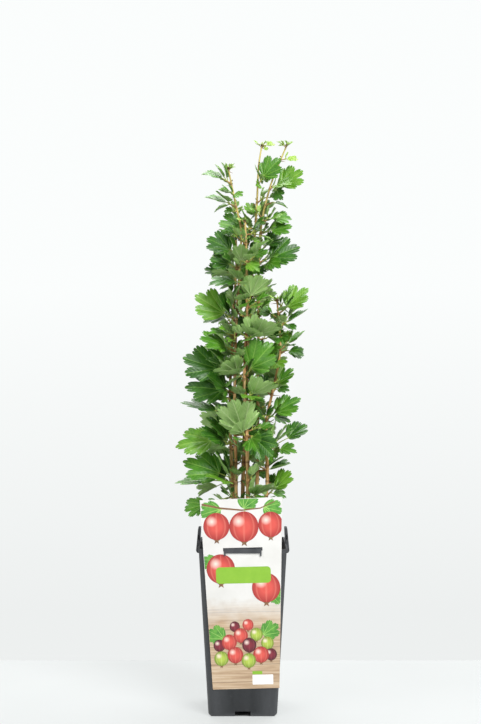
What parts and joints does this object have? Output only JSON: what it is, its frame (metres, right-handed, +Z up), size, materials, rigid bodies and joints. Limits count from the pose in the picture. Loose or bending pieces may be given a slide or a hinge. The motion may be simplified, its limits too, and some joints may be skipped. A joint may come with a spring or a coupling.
{
  "type": "gooseberry bush in a deep square nursery pot",
  "caption": "Young upright gooseberry bush with leafy side shoots from pot to tip, in a deep square dark grey plastic pot with a printed hanging label.",
  "frame": {"origin": "middle of the pot's flat underside, on the surface that it stands on", "axes": "+Z up, -Y out of the face that the label hangs on, +X to the right as seen from the label's side"},
  "size_m": [0.1655, 0.1368, 0.7086],
  "materials": {
    "pot_plastic": "matt moulded dark grey",
    "compost": "loose, fibrous and matt",
    "bark": "thin straw to brown bark with spines",
    "label": "printed card with a satin coat",
    "foliage": "satin green leaves, paler underneath"
  },
  "bodies": {
    "root": {"pot": "pot_plastic", "compost": "compost", "woody_crown": "bark", "label_card": "label", "stem_left": "bark", "stem_middle": "bark", "stem_right": "bark", "stem_upper": "bark", "stem_leader": "bark", "stem_back": "bark", "leaves_left_a": "foliage", "leaves_left_b": "foliage", "leaves_left_c": "foliage", "leaves_left_d": "foliage", "leaves_left_e": "foliage", "leaves_left_f": "foliage", "leaves_left_g": "foliage", "leaves_left_h": "foliage", "leaves_left_i": "foliage", "leaves_left_j": "foliage", "leaves_left_k": "foliage", "leaves_left_l": "foliage", "leaves_left_m": "foliage", "leaves_left_n": "foliage", "leaves_left_o": "foliage", "leaves_left_p": "foliage", "leaves_right_a": "foliage", "leaves_right_b": "foliage", "leaves_right_c": "foliage", "leaves_right_d": "foliage", "leaves_right_e": "foliage", "leaves_right_f": "foliage", "leaves_right_g": "foliage", "leaves_right_h": "foliage", "leaves_right_i": "foliage", "leaves_right_j": "foliage", "leaves_right_k": "foliage", "leaves_right_l": "foliage", "leaves_right_m": "foliage", "leaves_right_n": "foliage", "leaves_front_a": "foliage", "leaves_front_b": "foliage", "leaves_front_c": "foliage", "leaves_front_d": "foliage", "leaves_front_e": "foliage", "leaves_front_f": "foliage", "leaves_front_g": "foliage", "leaves_front_h": "foliage", "leaves_front_i": "foliage", "leaves_lead_a": "foliage", "leaves_lead_tip": "foliage", "leaves_back_a": "foliage", "leaves_back_b": "foliage", "leaves_back_c": "foliage", "leaves_back_d": "foliage", "leaves_back_e": "foliage", "leaves_back_f": "foliage", "leaves_back_g": "foliage", "leaves_back_h": "foliage", "leaves_back_i": "foliage"}
  },
  "joints": []
}
